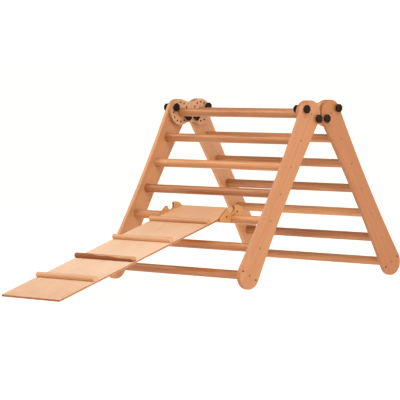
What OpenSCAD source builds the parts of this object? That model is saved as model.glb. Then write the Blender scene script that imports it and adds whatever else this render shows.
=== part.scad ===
// Folding climbing triangle: two ladders, a pair of ring-hole hinge plates,
// clamping knobs, and a cleated ramp that hooks over one of the rungs.
// Rungs run along X, the ladders face -Y and +Y, and Z points up.
// The origin lies on the floor, below the middle of the whole object.

/* [Ladders] */
// Distance between neighbouring rungs, centre to centre
rung_pitch = 120; // [110:1:130]
// Number of rungs on each ladder
rung_count = 7; // [6:1:8]
// Diameter of a rung
rung_d = 35; // [28:1:38]
// Depth to which a rung's end is let into a rail
rung_seat = 10; // [8:0.5:12]
// Width of the frame over the outer faces of its rails
frame_w = 787; // [640:1:900]
// Width of a rail at its round ends
rail_w = 110; // [106:1:120]
// Width of a rail at its waist, midway between its ends
rail_waist = 88; // [80:1:100]
// Thickness of a rail
rail_t = 18; // [16:0.5:24]
// Width of the bevel along the edges of the rails and hinge plates
bevel = 2; // [1:0.5:3]

/* [Hinge plates] */
// Gap between the two rails of one side when the frame is folded flat
fold_gap = 8; // [6:0.5:20]
// Thickness of a hinge plate
plate_t = 18; // [15:0.5:24]
// Height of a hinge plate at its waist
waist_h = 85; // [70:1:95]
// Number of locking holes in a ring, an even number
ring_holes = 12; // [10:2:14]
// Diameter of a locking bolt
bolt_d = 8; // [6:0.5:9]

/* [Knobs] */
// Diameter of a knob over its lobes
knob_d = 35; // [30:0.5:36]
// Gap between neighbouring knobs when the frame is folded flat
knob_gap = 2; // [1:0.5:4]
// Height of a knob's head
knob_head_h = 9; // [7:0.5:12]
// Diameter of the hub under a knob's head
knob_hub_d = 20; // [16:0.5:24]
// Height of the hub under a knob's head
knob_hub_h = 6; // [3:0.5:10]
// Number of lobes round a knob
knob_lobes = 8; // [6:1:10]
// Depth of the hollow between two lobes
knob_flute = 1.6; // [1:0.1:2]

/* [Ramp] */
// Length of the ramp's panel
ramp_l = 1014; // [990:1:1100]
// Width of the ramp's panel
ramp_w = 337; // [300:1:450]
// Thickness of the ramp's panel
ramp_t = 9; // [8:0.5:12]
// Distance of the ramp's middle from the frame's middle, along the rungs
ramp_x = 10; // [-100:1:100]
// Number of rungs from the top down to the one that carries the ramp
carry_count = 5; // [4:1:5]
// Length of the panel beyond the rung that carries it
ramp_over = 56; // [50:1:70]
// Radius of the panel's rounded end edges
ramp_edge_r = 2; // [1:0.5:3]
// Number of climbing cleats on the ramp
cleat_count = 4; // [3:1:4]
// Distance from the ramp's toe to the middle of the first cleat
cleat_first = 197; // [150:1:205]
// Distance between neighbouring cleats
cleat_pitch = 212; // [170:1:216]
// Diameter of the rod that a cleat is planed from
cleat_d = 22; // [18:0.5:26]
// Height of a cleat above the panel
cleat_h = 18.5; // [15:0.5:20]

/* [Hook brackets] */
// Thickness of a hook bracket
hook_t = 12; // [9:0.5:18]
// Distance from the rung's centre to the bracket's low end
hook_low = 76; // [74:1:95]
// Distance from the rung's centre to the bracket's high end
hook_high = 60; // [54:1:64]
// Height of the low hump above the panel
hump_low_h = 24; // [21:0.5:26]
// Height of the high hump above the panel
hump_high_h = 25; // [20:0.5:30]
// Distance between the two screws of a bracket, along the panel
hook_screw_gap = 63; // [56:1:80]
// Distance from the rung's centre downhill to the middle of those two screws
hook_screw_off = 5; // [0:0.5:6]

/* [Screws] */
// Diameter of a rung screw's head
rung_screw_head_d = 9.5; // [8:0.1:10.5]
// Diameter of a rung screw's shank
rung_screw_d = 5; // [4:0.1:5.5]
// Length of a rung screw
rung_screw_l = 50; // [40:1:70]
// Diameter of a ramp screw's head
ramp_screw_head_d = 8; // [7:0.1:8.5]
// Diameter of a ramp screw's shank
ramp_screw_d = 4; // [3:0.1:4.5]
// Length of a screw through a hook bracket
hook_screw_l = 40; // [30:1:60]
// Length of a screw from the panel's underside into a cleat
cleat_screw_l = 22; // [18:0.5:22]
// Distance between the screws of one cleat
cleat_screw_gap = 130; // [100:1:140]

/* [Hidden] */
$fn = 72;

// Clearances
turn_gap = 0.3;     // round a rung that turns in a plate, and under a knob
face_gap = 0.3;     // between a rail and a hinge plate
seat_gap = 0.15;    // round a rung's end in its seat
bolt_gap = 0.25;    // round a locking bolt in its hole
screw_gap = 0.1;    // round a screw
over = 1;           // by how much a cutter passes a face
mouth = 1;          // chamfer at the mouth of a bore
tuck = 0.02;        // how far an edge runs inside the rounds that it joins
arc_steps = 16;     // steps along a hollow edge

// Small shapes
knob_edge_r = 3;    // round edge of a knob's head
flute_r = 5.6;      // radius of the hollows between a knob's lobes
nose_r = 7.2;       // round nose of a bracket's low hump
tip_r = 8.1;        // round end of its high hump
low_crest_r = 3;    // round crest of the low hump
high_crest_r = 3;   // round crest of the high hump

// Proportions of a screw, to its head's diameter and at the tip to its shank's
head_rim_ratio = 0.06; // straight rim of the head
recess_l_ratio = 0.55; // length of the cross recess
recess_w_ratio = 0.13; // width of the cross recess
recess_h_ratio = 0.22; // depth of the cross recess
screw_tip_ratio = 0.8; // length of the pointed end

// Sizes that follow from the ones above
rung_r = rung_d/2;
end_r = rail_w/2;
lean = 360/ring_holes;
pivot_d = rail_w + fold_gap;
ring_r = (pivot_d - knob_d - knob_gap)/2;
bolt_hole_d = bolt_d + 2*bolt_gap;
knob_bolt_h = knob_hub_h + knob_head_h/2;
rail_run = (rung_count - 1)*rung_pitch;
pivot_z = rail_run*cos(lean) + end_r;
foot_y = pivot_d/2 + rail_run*sin(lean) + end_r;
rail_in = frame_w/2 - rail_t;
plate_out = rail_in - face_gap;
plate_in = plate_out - plate_t;
rung_l = 2*(rail_in + rung_seat);

// The ramp's slope: its underside lies on the rung and its toe on the floor
hook_r = rung_r + turn_gap;
ramp_run = ramp_l - ramp_over;
carry_d = (carry_count - 1)*rung_pitch;
carry_y = -pivot_d/2 - carry_d*sin(lean);
carry_z = pivot_z - carry_d*cos(lean);
toe_u = ramp_run - ramp_edge_r;
toe_n = hook_r + ramp_edge_r;
slope = asin((carry_z - ramp_edge_r)/norm([toe_u, toe_n])) + atan(toe_n/toe_u);
toe_y = carry_y - toe_u*cos(slope)
      - (hook_r + ramp_t - ramp_edge_r)*sin(slope) - ramp_edge_r;
mid_y = (foot_y + toe_y)/2;

// Ring angles of the two holes across each ladder's rails
FRONT_LOCKS = [180 - lean, 360 - lean];
REAR_LOCKS = [lean, 180 + lean];

BEECH = [0.83, 0.52, 0.32];
BIRCH = [0.87, 0.62, 0.42];
PANEL = [0.91, 0.70, 0.50];
BLACK = [0.07, 0.06, 0.06];
ZINC = [0.72, 0.72, 0.62];

// What is repeated: the front and the rear ladder, the near side at +X and the
// far side at -X, a ladder's high and low locking bolt, rungs and cleats
ENDS = [true, false];
SIDES = [true, false];
LOCKS = [true, false];
RUNGS = [for (k = [1 : rung_count]) k];
CLEATS = [for (k = [1 : cleat_count]) k];
function rail_name(front, near) =
    str(front ? "front" : "rear", "_rail_", near ? "near" : "far");
function rung_name(front, k) = str(front ? "front" : "rear", "_rung_", k);
function plate_name(near) = str("hinge_plate_", near ? "near" : "far");
function knob_name(front, near, high, inner) =
    str(front ? "front" : "rear", inner ? "_inner_knob_" : "_outer_knob_",
        near ? "near_" : "far_", high ? "high" : "low");
function bracket_name(near) = str("hook_bracket_", near ? "near" : "far");
function cleat_name(k) = str("cleat_", k);

// Shapes used by several pieces

// Rectangle with round corners, centred
module rounded_rect(w, h, r) {
    square([w - 2*r, h], center = true);
    square([w, h - 2*r], center = true);
    for (x = [-1, 1], y = [-1, 1])
        translate([x*(w/2 - r), y*(h/2 - r)])
            circle(r);
}

// Half of a round board's section, from its middle to its rounded rim
module rim_section(r, t, edge) {
    intersection() {
        rounded_rect(2*r, t, edge);
        translate([0, -t/2])
            square([r, t]);
    }
}

// Board with round ends, centred on its middle and running along X. Both long
// edges are hollowed to a waist by an arc that runs into the ends without a
// corner, and every edge is bevelled
module waisted_board(run, w, waist, t) {
    hollow_r = (pow(run/2, 2) + pow(waist/2, 2) - pow(w/2, 2))/(w - waist);
    hollow_y = waist/2 + hollow_r;
    turn = atan(run/2/hollow_y);
    r = hollow_r + tuck;
    for (x = [-run/2, run/2])
        translate([x, 0, 0])
            rotate_extrude()
                polygon([
                    [0, 0], [w/2 - bevel, 0], [w/2, bevel],
                    [w/2, t - bevel], [w/2 - bevel, t], [0, t]
                ]);
    difference() {
        linear_extrude(t)
            polygon([[-run/2, 0], [0, -hollow_y], [run/2, 0], [0, hollow_y]]);
        for (y = [-hollow_y, hollow_y])
            translate([0, y, 0])
                rotate_extrude($fn = ceil(arc_steps*180/turn))
                    polygon([
                        [0, -over], [r + bevel + over, -over], [r, bevel],
                        [r, t - bevel], [r + bevel + over, t + over], [0, t + over]
                    ]);
    }
}

// Blind or through bore upwards from the XY plane, its mouth chamfered
module bore(r, depth) {
    translate([0, 0, -over])
        cylinder(r = r, h = depth + over);
    translate([0, 0, -over])
        cylinder(r1 = r + mouth + over, r2 = r, h = mouth + over);
}

// Countersunk screw, its head's face on the XY plane and its point downwards;
// grown by a gap, it is the hole for that screw
module screw_shape(head_d, shank_d, length, gap = 0) {
    head_r = head_d/2 + gap;
    shank_r = shank_d/2 + gap;
    rim = head_d*head_rim_ratio;
    neck = rim + head_r - shank_r;
    tip = shank_d*screw_tip_ratio;
    rotate_extrude()
        polygon([
            [0, gap], [head_r, gap], [head_r, -rim], [shank_r, -neck],
            [shank_r, tip - length], [0, -length - gap]
        ]);
}

// Screw with a cross recess in its head
module screw(head_d, shank_d, length) {
    difference() {
        screw_shape(head_d, shank_d, length);
        for (turn = [0, 90])
            rotate([0, 0, turn])
                cube(head_d*[recess_l_ratio, recess_w_ratio, 2*recess_h_ratio], center = true);
    }
}

// Frames of reference

// Turns a side view drawn in XY upright: X becomes Y, Y becomes Z, Z becomes X
module side_view() {
    rotate([90, 0, 90])
        children();
}

// The side of the frame at +X as drawn, and the one at -X as its mirror image
module on_side(near) {
    if (near)
        children();
    else
        mirror([1, 0, 0])
            children();
}

// A ladder's own frame: the top rung's centre at the origin, the rails downwards
module on_ladder(front) {
    dir = front ? -1 : 1;
    translate([0, dir*pivot_d/2 - mid_y, pivot_z])
        rotate([dir*lean, 0, 0])
            children();
}

// The hinge plates' frame: midway between the two pivots
module on_plates() {
    translate([0, -mid_y, pivot_z])
        children();
}

// The ramp's side view: X uphill from the rung's centre, Y square to the panel
module on_ramp() {
    translate([0, carry_y - mid_y, carry_z])
        rotate([slope, 0, 0])
            side_view()
                children();
}

// Ladders

module rail(front, near) {
    color(BEECH)
        on_ladder(front)
            on_side(near)
                translate([rail_in, 0, 0])
                    side_view()
                        difference() {
                            translate([0, -rail_run/2, 0])
                                rotate([0, 0, 90])
                                    waisted_board(rail_run, rail_w, rail_waist, rail_t);
                            for (k = RUNGS)
                                translate([0, -(k - 1)*rung_pitch, 0]) {
                                    bore(rung_r + seat_gap, rung_seat);
                                    translate([0, 0, rail_t])
                                        screw_shape(rung_screw_head_d, rung_screw_d,
                                                    rung_screw_l, screw_gap);
                                }
                            for (x = [-ring_r, ring_r], y = [0, -rail_run])
                                translate([x, y, -over])
                                    cylinder(d = bolt_hole_d, h = rail_t + 2*over);
                        }
}

module rung(front, k) {
    color(BEECH)
        on_ladder(front)
            translate([0, 0, -(k - 1)*rung_pitch])
                rotate([0, 90, 0])
                    difference() {
                        rung_rod();
                        for (side = [0, 180])
                            rotate([side, 0, 0])
                                translate([0, 0, frame_w/2])
                                    screw_shape(rung_screw_head_d, rung_screw_d,
                                                rung_screw_l, screw_gap);
                    }
}

// Round rod along Z with chamfered ends
module rung_rod() {
    rotate_extrude()
        polygon([
            [0, -rung_l/2], [rung_r - mouth, -rung_l/2], [rung_r, mouth - rung_l/2],
            [rung_r, rung_l/2 - mouth], [rung_r - mouth, rung_l/2], [0, rung_l/2]
        ]);
}

module rung_screws(front) {
    color(ZINC)
        on_ladder(front)
            for (k = RUNGS, near = [true, false])
                on_side(near)
                    translate([frame_w/2, 0, -(k - 1)*rung_pitch])
                        rotate([0, 90, 0])
                            screw(rung_screw_head_d, rung_screw_d, rung_screw_l);
}

// Hinge plates

module hinge_plate(near) {
    color(BIRCH)
        on_plates()
            on_side(near)
                translate([plate_in, 0, 0])
                    side_view()
                        difference() {
                            waisted_board(pivot_d, rail_w, waist_h, plate_t);
                            for (x = [-pivot_d/2, pivot_d/2])
                                translate([x, 0, 0]) {
                                    bore(rung_r + turn_gap, plate_t + over);
                                    ring_of_holes();
                                }
                        }
}

module ring_of_holes() {
    for (k = [1 : ring_holes])
        rotate([0, 0, k*360/ring_holes])
            translate([ring_r, 0, -over])
                cylinder(d = bolt_hole_d, h = plate_t + 2*over);
}

// Locking bolts and knobs

// Place of one locking bolt: its ring, and its angle on that ring
module at_lock(front, angle) {
    on_plates()
        translate([0, (front ? -1 : 1)*pivot_d/2 + ring_r*cos(angle), ring_r*sin(angle)])
            children();
}

// Locking bolts as far as they sit in the rails and their knobs
module ladder_bolts(front) {
    color(ZINC)
        for (angle = front ? FRONT_LOCKS : REAR_LOCKS, near = [true, false])
            on_side(near)
                at_lock(front, angle)
                    translate([rail_in, 0, 0])
                        rotate([0, 90, 0])
                            cylinder(d = bolt_d, h = rail_t + knob_bolt_h);
}

// Locking bolts as far as they sit in the hinge plates and their knobs
module plate_bolts() {
    color(ZINC)
        for (front = [true, false])
            for (angle = front ? FRONT_LOCKS : REAR_LOCKS, near = [true, false])
                on_side(near)
                    at_lock(front, angle)
                        translate([plate_out, 0, 0])
                            rotate([0, -90, 0])
                                cylinder(d = bolt_d, h = plate_t + knob_bolt_h);
}

// Knob on a rail's outer face, or on a plate's inner face
module placed_knob(front, near, high, inner) {
    locks = front ? FRONT_LOCKS : REAR_LOCKS;
    color(BLACK)
        on_side(near)
            at_lock(front, locks[high ? 0 : 1])
                translate([inner ? plate_in - turn_gap : frame_w/2 + turn_gap, 0, 0])
                    rotate([0, inner ? -90 : 90, 0])
                        knob();
}

// Lobed clamping knob on a hub, standing on the XY plane
module knob() {
    difference() {
        union() {
            cylinder(d1 = knob_hub_d - 2*mouth, d2 = knob_hub_d, h = mouth);
            translate([0, 0, mouth])
                cylinder(d = knob_hub_d, h = knob_hub_h);
            translate([0, 0, knob_hub_h + knob_head_h/2])
                rotate_extrude()
                    rim_section(knob_d/2, knob_head_h, knob_edge_r);
        }
        for (k = [1 : knob_lobes])
            rotate([0, 0, k*360/knob_lobes])
                translate([knob_d/2 - knob_flute + flute_r, 0, knob_hub_h - over])
                    cylinder(r = flute_r, h = knob_head_h + 2*over);
        translate([0, 0, -over])
            cylinder(r = bolt_d/2 + turn_gap, h = knob_bolt_h + over + turn_gap);
    }
}

// Ramp

module ramp_panel() {
    color(PANEL)
        on_ramp()
            difference() {
                translate([ramp_over - ramp_l/2, hook_r + ramp_t/2, ramp_x - ramp_w/2])
                    linear_extrude(ramp_w)
                        rounded_rect(ramp_l, ramp_t, ramp_edge_r);
                at_cleat_screws()
                    screw_shape(ramp_screw_head_d, ramp_screw_d, cleat_screw_l, screw_gap);
                at_hook_screws()
                    screw_shape(ramp_screw_head_d, ramp_screw_d, hook_screw_l, screw_gap);
            }
}

// Distance of a cleat from the rung's centre, uphill
function cleat_u(k) = ramp_over - ramp_l + cleat_first + (k - 1)*cleat_pitch;

module cleat(k) {
    cleat_r = cleat_d/2;
    half_l = ramp_w/2;
    color(BEECH)
        on_ramp()
            difference() {
                translate([cleat_u(k), hook_r + ramp_t + cleat_h - cleat_r, ramp_x])
                    difference() {
                        rotate_extrude()
                            polygon([
                                [0, -half_l], [cleat_r - mouth, -half_l],
                                [cleat_r, mouth - half_l], [cleat_r, half_l - mouth],
                                [cleat_r - mouth, half_l], [0, half_l]
                            ]);
                        translate([0, cleat_r - cleat_h - cleat_d/2, 0])
                            cube([cleat_d, cleat_d, ramp_w + 2*over], center = true);
                    }
                at_cleat_screws()
                    screw_shape(ramp_screw_head_d, ramp_screw_d, cleat_screw_l, screw_gap);
            }
}

// Places of the screws from the panel's underside into the cleats
module at_cleat_screws() {
    for (k = CLEATS, x = [-cleat_screw_gap, 0, cleat_screw_gap])
        translate([cleat_u(k), hook_r, ramp_x + x])
            rotate([90, 0, 0])
                children();
}

// Places of the screws through the brackets into the panel's side edges
module at_hook_screws() {
    for (u = [-hook_screw_gap/2, hook_screw_gap/2], flip = [0, 1])
        translate([u - hook_screw_off, hook_r + ramp_t/2, ramp_x])
            mirror([0, 0, flip])
                translate([0, 0, ramp_w/2 + hook_t])
                    children();
}

module cleat_screws() {
    color(ZINC)
        on_ramp()
            at_cleat_screws()
                screw(ramp_screw_head_d, ramp_screw_d, cleat_screw_l);
}

module hook_screws() {
    color(ZINC)
        on_ramp()
            at_hook_screws()
                screw(ramp_screw_head_d, ramp_screw_d, hook_screw_l);
}

// Hook bracket on a side edge of the panel
module hook_bracket(near) {
    side_x = ramp_x + (near ? ramp_w/2 : -ramp_w/2 - hook_t);
    color(BIRCH)
        on_ramp()
            difference() {
                translate([0, hook_r + ramp_t/2, side_x])
                    hook_blank();
                at_hook_screws()
                    screw_shape(ramp_screw_head_d, ramp_screw_d, hook_screw_l, screw_gap);
            }
}

// Bracket centred on the middle of the panel's thickness: a long low hump, a notch
// for the rung and a short high hump. It is the same upwards and downwards, so that
// the ramp can be turned over and used as a slide
module hook_blank() {
    core_w = hook_high + hook_low - 2*ramp_t;
    difference() {
        union() {
            translate([ramp_t - hook_low, -ramp_t/2, 0])
                cube([core_w, ramp_t, hook_t]);
            for (flip = [0, 1])
                mirror([0, flip, 0])
                    linear_extrude(hook_t) {
                        low_hump();
                        high_hump();
                        translate([-hook_r, 0])
                            square([2*hook_r, ramp_t/2 + hook_r]);
                    }
        }
        for (flip = [0, 1])
            mirror([0, flip, 0])
                notch();
    }
}

// Notch that takes the rung, its floor level with the panel's face
module notch() {
    translate([0, ramp_t/2 + hook_r, -over]) {
        cylinder(r = hook_r, h = hook_t + 2*over);
        translate([-hook_r, 0, 0])
            cube([2*hook_r, max(hump_low_h, hump_high_h), hook_t + 2*over]);
    }
}

// Upper half of the low hump: a round nose, a straight slope and a round crest
module low_hump() {
    nose = [nose_r - hook_low, 0];
    crest = [-hook_r - low_crest_r, ramp_t/2 + hump_low_h - low_crest_r];
    run = crest - nose;
    facing = atan2(run.y, run.x) + acos((nose_r - low_crest_r)/norm(run));
    out = [cos(facing), sin(facing)];
    translate(nose)
        circle(nose_r);
    translate(crest)
        circle(low_crest_r);
    polygon([
        nose, nose + (nose_r - tuck)*out, crest + (low_crest_r - tuck)*out,
        crest, [-hook_r, crest.y], [-hook_r, 0]
    ]);
}

// Upper half of the high hump: a round crest that falls in an arc to a round end
module high_hump() {
    top = ramp_t/2 + hump_high_h;
    crest = [hook_r + high_crest_r, top - high_crest_r];
    tip = [hook_high - tip_r, 0];
    reach = tip.x - crest.x;
    arc_r = (pow(reach, 2) + pow(top, 2) - pow(tip_r, 2))/(2*(top - tip_r));
    arc = [crest.x, top - arc_r];
    meet = tip + tip_r*(tip - arc)/norm(tip - arc);
    translate([hook_r, 0])
        square([high_crest_r, crest.y]);
    translate(crest)
        circle(high_crest_r);
    intersection() {
        translate(arc)
            circle(arc_r - tuck, $fn = 180);
        translate([crest.x, 0])
            square([meet.x - crest.x, top]);
    }
    translate(tip)
        circle(tip_r);
}

for (front = ENDS, near = SIDES)
    rail(front, near);
for (front = ENDS, k = RUNGS)
    rung(front, k);
for (near = SIDES)
    hinge_plate(near);
for (inner = [false, true], front = ENDS, near = SIDES, high = LOCKS)
    placed_knob(front, near, high, inner);
ladder_bolts(true);  // front_bolts
ladder_bolts(false);  // rear_bolts
plate_bolts();
rung_screws(true);  // front_rung_screws
rung_screws(false);  // rear_rung_screws
ramp_panel();
for (near = SIDES)
    hook_bracket(near);
for (k = CLEATS)
    cleat(k);
hook_screws();
cleat_screws();
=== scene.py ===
# %% [markdown]
# # A folding climbing triangle in oiled beech
# Two ladders stand against each other like the legs of an easel. At the top they
# turn on two figure-8 plywood plates, where black knobs lock them, and a cleated
# ramp hooks over a rung. The CAD frame gives every piece its place and its size.
# This script gives them their looks: rounded edges, grain, ply layers and metal.

import math

import bmesh
import bpy
from mathutils import Matrix, Vector


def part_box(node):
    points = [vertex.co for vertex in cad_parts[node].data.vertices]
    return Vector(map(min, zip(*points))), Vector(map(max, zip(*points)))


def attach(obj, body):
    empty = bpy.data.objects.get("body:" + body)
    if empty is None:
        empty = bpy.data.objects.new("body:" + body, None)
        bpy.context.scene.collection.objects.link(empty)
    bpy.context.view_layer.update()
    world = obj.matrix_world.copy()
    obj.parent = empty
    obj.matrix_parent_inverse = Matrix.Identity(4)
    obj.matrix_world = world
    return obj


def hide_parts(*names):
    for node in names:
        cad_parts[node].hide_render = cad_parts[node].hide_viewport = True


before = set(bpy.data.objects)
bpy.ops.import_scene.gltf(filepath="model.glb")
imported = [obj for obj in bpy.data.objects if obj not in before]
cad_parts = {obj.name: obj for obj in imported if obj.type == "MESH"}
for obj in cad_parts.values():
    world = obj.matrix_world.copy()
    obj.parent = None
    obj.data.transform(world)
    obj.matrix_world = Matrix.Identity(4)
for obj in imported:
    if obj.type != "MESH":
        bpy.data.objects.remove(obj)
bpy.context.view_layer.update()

# %% [markdown]
# ## Arithmetic on sockets
# A material or a Geometry Nodes tree is a page of little sums. Placed by hand, each
# sum is a node and two wires, and the idea gets lost in them. So one class wraps a
# socket and overloads the operators: `1 - wear * 0.5` adds its own Math nodes. A
# second class owns the tree and adds any other node: settings first, because they
# decide which sockets there are, then the sockets' values or links.

# %% A socket that can be calculated with
class Wire:
    def __init__(self, maker, socket):
        self.maker, self.socket = maker, socket

    def __add__(self, other): return self.maker.math("ADD", self, other)
    def __radd__(self, other): return self.maker.math("ADD", other, self)
    def __sub__(self, other): return self.maker.math("SUBTRACT", self, other)
    def __rsub__(self, other): return self.maker.math("SUBTRACT", other, self)
    def __mul__(self, other): return self.maker.math("MULTIPLY", self, other)
    def __rmul__(self, other): return self.maker.math("MULTIPLY", other, self)
    def __truediv__(self, other): return self.maker.math("DIVIDE", self, other)
    def __pow__(self, other): return self.maker.math("POWER", self, other)
    def sin(self): return self.maker.math("SINE", self)
    def cos(self): return self.maker.math("COSINE", self)
    def whole(self): return self.maker.math("FLOOR", self)
    def rest(self): return self.maker.math("FRACT", self)
    def size(self): return self.maker.math("ABSOLUTE", self)
    def least(self, other): return self.maker.math("MINIMUM", self, other)
    def most(self, other): return self.maker.math("MAXIMUM", self, other)
    def above(self, other): return self.maker.math("GREATER_THAN", self, other)
    def near(self, other): return self.maker.math("COMPARE", self, other, 0.1)

    def ease(self, low, high):
        """0 below low, 1 above high and a smooth step between them."""
        return self.maker.add(
            "ShaderNodeMapRange", {"interpolation_type": "SMOOTHSTEP"},
            {"Value": self, "From Min": low, "From Max": high}, out="Result")

# %% The owner of a tree
class Maker:
    def __init__(self, tree):
        self.tree = tree

    def plug(self, socket, value):
        for term in value if isinstance(value, list) else [value]:
            if isinstance(term, Wire):
                self.tree.links.new(term.socket, socket)
            else:
                socket.default_value = term

    def add(self, kind, settings=None, inputs=None, out=0):
        node = self.tree.nodes.new(kind)
        for key, value in (settings or {}).items():
            setattr(node, key, value)
        for key, value in (inputs or {}).items():
            self.plug(self.pick(node.inputs, key), value)
        return Wire(self, self.pick(node.outputs, out))

    def pick(self, sockets, key):
        if isinstance(key, int):
            return sockets[key]
        return next(s for s in sockets if s.enabled and s.name == key)

    def math(self, operation, *terms):
        return self.add("ShaderNodeMath", {"operation": operation}, dict(enumerate(terms)))

    def vector(self, x=0.0, y=0.0, z=0.0):
        return self.add("ShaderNodeCombineXYZ", {}, {"X": x, "Y": y, "Z": z})

    def parts(self, vector):
        node = self.add("ShaderNodeSeparateXYZ", {}, {"Vector": vector}).socket.node
        return [Wire(self, s) for s in node.outputs]

# %% [markdown]
# ## Where things are
# The frame's boxes already hold every place: the middle of the first rung is a
# ladder's pivot, and the line to the last rung is the way its rails run. Reading
# them from the CAD means that the two models can't drift apart.

# %% Axes of the ladders and of the ramp
MM = 0.001
X = Vector((1, 0, 0))
SIDES = {"near": 1, "far": -1}
LADDERS = ("front", "rear")

def middle(node):
    low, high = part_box(node)
    return (low + high) / 2

def direction(start, end):
    return (middle(end) - middle(start)).normalized()

pivot = {end: middle(f"{end}_rung_1") for end in LADDERS}
down = {end: direction(f"{end}_rung_1", f"{end}_rung_7") for end in LADDERS}
uphill = direction("cleat_1", "cleat_4")
square_up = X.cross(uphill)
ramp_x = middle("ramp_panel").x
rail_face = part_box("front_rail_near")[0].x
rail_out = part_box("front_rail_near")[1].x
plate_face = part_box("hinge_plate_near")[0].x
for end in LADDERS:
    print(end, "pivot", tuple(round(c, 4) for c in pivot[end]))

# %% [markdown]
# Each piece is made lying flat at the origin, as on a bench, and then carried to its
# place by one matrix. Its own x axis follows the grain, and z points out of its face.

# %% The matrix that carries a piece from the bench to its place
def bench_to(origin, along, out):
    turn = Matrix((along, out.cross(along), out)).transposed()
    return Matrix.Translation(origin) @ turn.to_4x4()

# %% [markdown]
# ## Wood that knows its grain
# Real wood is a solid pattern: rings round the heart of the tree, fibres along it,
# and every face of a board is a cut through both. So the pattern is worked out in
# three dimensions, and each piece carries an attribute, `grain`, with its place in
# the log: x along the fibres, in metres. Turning or folding the ladder then turns the
# wood with it. Two numbers go along: `tone` makes a piece darker or
# lighter than its neighbours, as a random tone on the rungs and cleats and as painted
# light and shade on the rails, and `end` is 1 where the surface cuts straight across
# the fibres. A piece that doesn't carry one of them reads it as 0.

# %% Helpers for patterns
def carried(m, name, out="Vector"):
    return m.add("ShaderNodeAttribute", {"attribute_name": name}, out=out)

def stretched(m, vector, scale):
    return m.add("ShaderNodeMapping", {}, {"Vector": vector, "Scale": scale})

def noise(m, vector, scale, detail=2.0):
    """Soft random values from 0 to 1, with so many lumps per metre on each axis."""
    return m.add("ShaderNodeTexNoise", {}, {
        "Vector": stretched(m, vector, scale), "Scale": 1.0, "Detail": detail})

def blend(m, amount, one, other):
    """A colour between two colours."""
    return m.add("ShaderNodeMix", {"data_type": "RGBA"},
                 {"Factor": amount, "A": one, "B": other}, out="Result")

def bumped(m, height, depth):
    return m.add("ShaderNodeBump", {}, {"Height": height, "Distance": depth})

def rgb(red, green, blue):
    """A colour as read from a screen, 0 to 255, in the linear values Blender uses."""
    return tuple((c / 255) ** 2.2 for c in (red, green, blue)) + (1.0,)

def finish(name, paint):
    """A material whose Principled shader takes the values or wires that paint gives."""
    made = bpy.data.materials.new(name)
    made.use_nodes = True
    m = Maker(made.node_tree)
    shader = made.node_tree.nodes["Principled BSDF"]
    for key, value in paint(m).items():
        m.plug(shader.inputs[key], value)
    print(f"{name}: {len(made.node_tree.nodes)} nodes")
    return made

# %% [markdown]
# ### Beech
# Steamed beech is an even pinkish tan. Its rings are faint and wide, and thousands of
# short dark flecks, the rays, lie along the grain. Under oil the darker late wood is
# a little smoother, and end grain drinks more of it, so the rim of a rail's round end
# is darker. Broad streaks make one rung warmer than the next.
#
# The cleat second from the toe was cut at the edge of the red heart, a dark tongue
# with a wandering edge. The attribute `heart` switches the tongue on, and `spot` is
# the place on the cleat, measured from its middle.

# %% The red heart
def red_heart(m):
    spot = carried(m, "spot")
    x, y, z = m.parts(spot)
    edge = 0.0047 - (x + 0.02) * 0.05 + (x * 52).sin() * 0.0016
    edge = edge + noise(m, spot, (28, 60, 60)) * 0.004 - y * 0.5
    return carried(m, "heart", "Fac") * (edge - z).ease(-0.0007, 0.0007)

# %% Beech
def beech(light, dark, ray, ring_w, rings, streak):
    """Rings are ring_w wide; rings and streak say how much either darkens the wood."""
    def paint(m):
        grain = carried(m, "grain")
        along, across, depth = m.parts(grain)
        wander = noise(m, grain, (1.7, 9, 9))
        aside, below = across + 0.05, depth - 0.11
        radius = (aside * aside + below * below) ** 0.5
        ring = ((radius + wander * 0.02 + along * 0.006) / ring_w).rest()
        late = ring.ease(0.45, 0.9) * (1 - ring.ease(0.92, 1.0))
        fibre = noise(m, grain, (11, 700, 700), 4.0)
        broad = noise(m, grain, (2.4, 55, 55), 3.0)
        rays = noise(m, grain, (300, 2100, 2100), 1.0).ease(0.6, 0.7)
        tone = (broad - 0.5) * streak + late * rings + (fibre - 0.5) * 0.5 + 0.42
        # The carried value is a random tone on rungs and cleats, and painted light and shade on the
        # rails.
        tone = tone + carried(m, "tone", "Fac")
        wood = blend(m, tone.most(0.0).least(1.0), light, dark)
        wood = blend(m, rays * 0.45, wood, ray)
        wood = blend(m, carried(m, "end", "Fac").ease(0.3, 1.0) * 0.8, wood, dark)
        heart = red_heart(m)
        wood = blend(m, heart * (0.86 + late * 0.14), wood, rgb(136, 70, 24))
        height = fibre * 0.5 - rays * 0.35 - late * 0.15
        satin = 0.42 - late * 0.08 + (fibre - 0.5) * 0.16 + heart * 0.25
        return {"Base Color": wood, "Roughness": satin,
                "Normal": bumped(m, height, 0.00012), "Specular IOR Level": 0.5}
    return paint

beech_rail = finish("beech", beech(
    rgb(200, 143, 100), rgb(160, 98, 56), rgb(132, 76, 40), ring_w=0.0042, rings=0.14, streak=0.4))
beech_cleat = finish("beech_cleat", beech(
    rgb(217, 165, 121), rgb(176, 118, 76), rgb(144, 88, 50), ring_w=0.0034, rings=0.25, streak=0.9))
beech_rung = finish("beech_rung", beech(
    rgb(206, 145, 97), rgb(144, 82, 40), rgb(118, 64, 30), ring_w=0.0034, rings=0.25, streak=1.3))
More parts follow.
